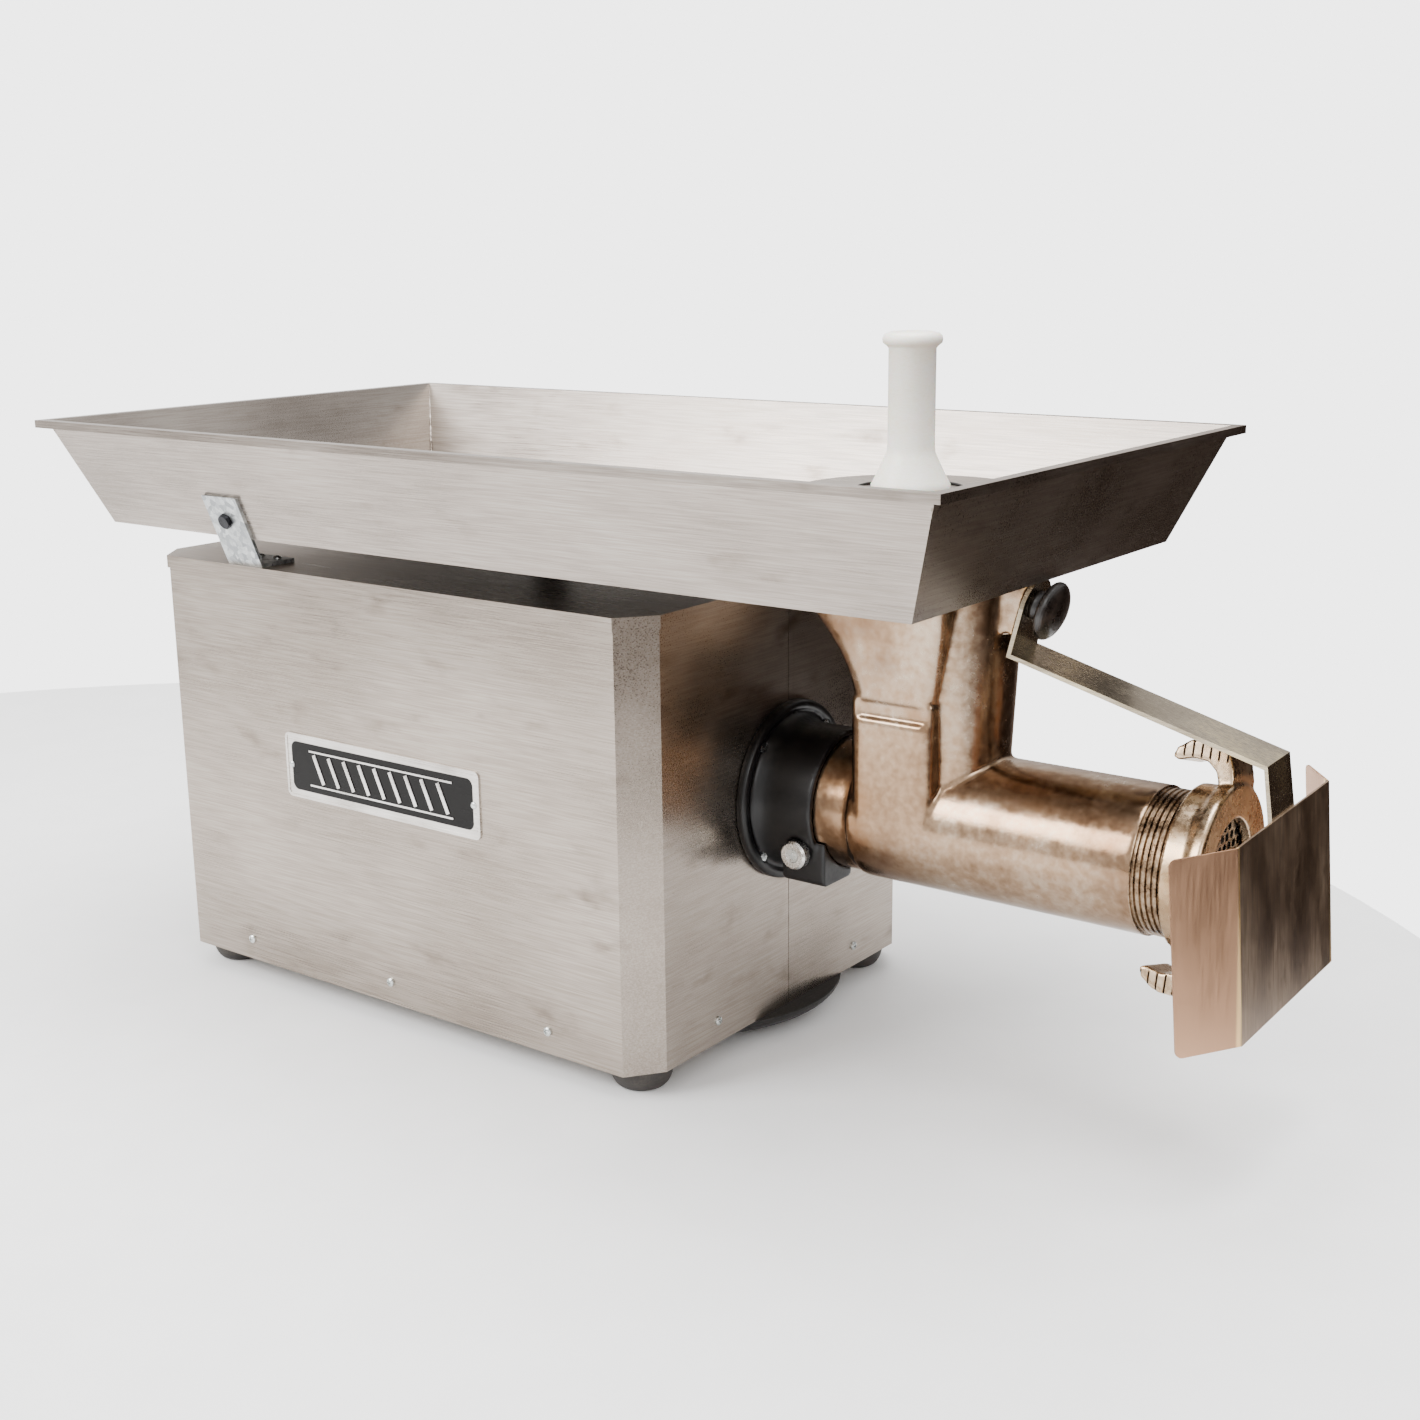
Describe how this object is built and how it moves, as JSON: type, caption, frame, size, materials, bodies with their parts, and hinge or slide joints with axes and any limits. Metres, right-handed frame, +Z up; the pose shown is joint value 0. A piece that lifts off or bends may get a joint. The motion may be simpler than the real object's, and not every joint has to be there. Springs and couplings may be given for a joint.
{
  "type": "electric meat grinder",
  "caption": "Countertop electric meat grinder: stainless casing with a feed tray above, bronze grinding head with ring nut, hinged discharge guard and a stomper.",
  "frame": {"origin": "on the table under the barrel axis, over the middle of the round front rest", "axes": "+X forward along the barrel, +Y to the side with the push buttons, +Z up"},
  "size_m": [0.989, 0.4552, 0.5435],
  "materials": {
    "stainless_brushed": "brushed along the length",
    "stainless_dull": "rolled sheet, dull",
    "tinned_bronze": "cast, polished and worn",
    "nickel_bronze": "polished",
    "cast_iron_black": "black satin enamel",
    "cast_iron_grey": "grey machine enamel",
    "steel_bright": "ground",
    "steel_zinc": "zinc plated",
    "galvanised": "hot-dip zinc with spangle",
    "steel_black": "black oxide",
    "silicon_steel": "laminated",
    "copper_wire": "varnished winding",
    "aluminium_cast": "cast",
    "aluminium_turned": "turned",
    "rubber_grey": "moulded",
    "bakelite": "moulded",
    "nylon_ivory": "turned",
    "plastic_black": "moulded",
    "plastic_green": "moulded",
    "plastic_red": "moulded",
    "plate_enamel": "black field, bare border",
    "tool_steel": "ground"
  },
  "bodies": {
    "machine": {"base_bolts": "steel_zinc", "base_pan": "steel_zinc", "cable_gland": "plastic_black", "capacitor": "aluminium_turned", "capacitor_clip": "steel_zinc", "casing_lid": "stainless_brushed", "casing_screws": "steel_zinc", "casing_wrap": "stainless_brushed", "counter_bearings": "steel_bright", "drive_bolts": "steel_zinc", "fan_cowl": "steel_zinc", "feed_shield": "stainless_brushed", "feed_tray": "stainless_brushed", "foot_front_far": "rubber_grey", "foot_front_near": "rubber_grey", "foot_rear_far": "rubber_grey", "foot_rear_near": "rubber_grey", "front_rest": "rubber_grey", "gearbox_cover": "cast_iron_grey", "gearbox_housing": "cast_iron_grey", "grinder_head": "tinned_bronze", "guard_stud": "steel_bright", "head_flange": "cast_iron_black", "motor_bearings": "steel_bright", "motor_cradle": "cast_iron_grey", "motor_front_bell": "aluminium_cast", "motor_rear_bell": "aluminium_cast", "motor_shell": "aluminium_cast", "nameplate": "plate_enamel", "nameplate_rivets": "steel_zinc", "output_bearings": "steel_bright", "output_seal": "rubber_grey", "perforated_plate": "tool_steel", "plate_pin": "steel_bright", "shield_ring": "rubber_grey", "stator_core": "silicon_steel", "stator_windings": "copper_wire", "switch_body": "plastic_black", "switch_plate": "stainless_dull", "tray_bolts": "steel_black", "tray_bracket_far": "galvanised", "tray_bracket_near": "galvanised"},
    "output_line": {"output_spindle": "steel_bright", "output_gear": "steel_bright", "feed_worm": "steel_bright", "cross_knife": "tool_steel"},
    "counter_line": {"countershaft": "steel_bright", "counter_gear": "steel_bright"},
    "rotor_line": {"rotor_shaft": "steel_bright", "rotor_core": "silicon_steel", "cooling_fan": "plastic_black"},
    "ring_nut": {"ring_nut": "nickel_bronze"},
    "guard": {"discharge_guard": "stainless_dull", "guard_strap": "stainless_brushed"},
    "guard_knob": {"guard_knob": "bakelite"},
    "clamp_screw": {"clamp_screw": "aluminium_turned", "clamp_screw_plug": "steel_zinc"},
    "stomper": {"stomper": "nylon_ivory"},
    "start_button": {"start_button": "plastic_green"},
    "stop_button": {"stop_button": "plastic_red"}
  },
  "joints": [
    {"name": "worm_spin", "type": "hinge", "parent": "machine", "child": "output_line", "pos_m": [0, 0, 0.197], "axis": [1, 0, 0], "continuous": true},
    {"name": "countershaft_spin", "type": "hinge", "parent": "machine", "child": "counter_line", "pos_m": [0, 0.06103, 0.13965], "axis": [1, 0, 0], "continuous": true},
    {"name": "rotor_spin", "type": "hinge", "parent": "machine", "child": "rotor_line", "pos_m": [0, 0, 0.112], "axis": [1, 0, 0], "continuous": true},
    {"name": "ring_nut_turn", "type": "hinge", "parent": "machine", "child": "ring_nut", "pos_m": [0.44, 0, 0.197], "axis": [1, 0, 0], "continuous": true},
    {"name": "guard_swing", "type": "hinge", "parent": "machine", "child": "guard", "pos_m": [0.3225, 0, 0.357], "axis": [0.9646, 0, -0.2639], "range_deg": [-15, 14]},
    {"name": "guard_knob_turn", "type": "hinge", "parent": "machine", "child": "guard_knob", "pos_m": [0.3225, 0, 0.357], "axis": [0.9646, 0, -0.2639], "continuous": true},
    {"name": "clamp_screw_turn", "type": "hinge", "parent": "machine", "child": "clamp_screw", "pos_m": [0.142, -0.05, 0.165], "axis": [0, -1, 0], "continuous": true},
    {"name": "stomper_lift", "type": "slide", "parent": "machine", "child": "stomper", "axis": [0, 0, 1], "range_m": [0, 0.13]},
    {"name": "start_press", "type": "slide", "parent": "machine", "child": "start_button", "axis": [0, -1, 0], "range_m": [0, 0.004], "stiffness_N_per_m": 400, "springref_m": -0.002},
    {"name": "stop_press", "type": "slide", "parent": "machine", "child": "stop_button", "axis": [0, -1, 0], "range_m": [0, 0.004], "stiffness_N_per_m": 400, "springref_m": -0.002}
  ],
  "couplings": [
    {"joint": "countershaft_spin", "follows": "worm_spin", "ratio": -2.9412},
    {"joint": "rotor_spin", "follows": "worm_spin", "ratio": 8.6505}
  ]
}
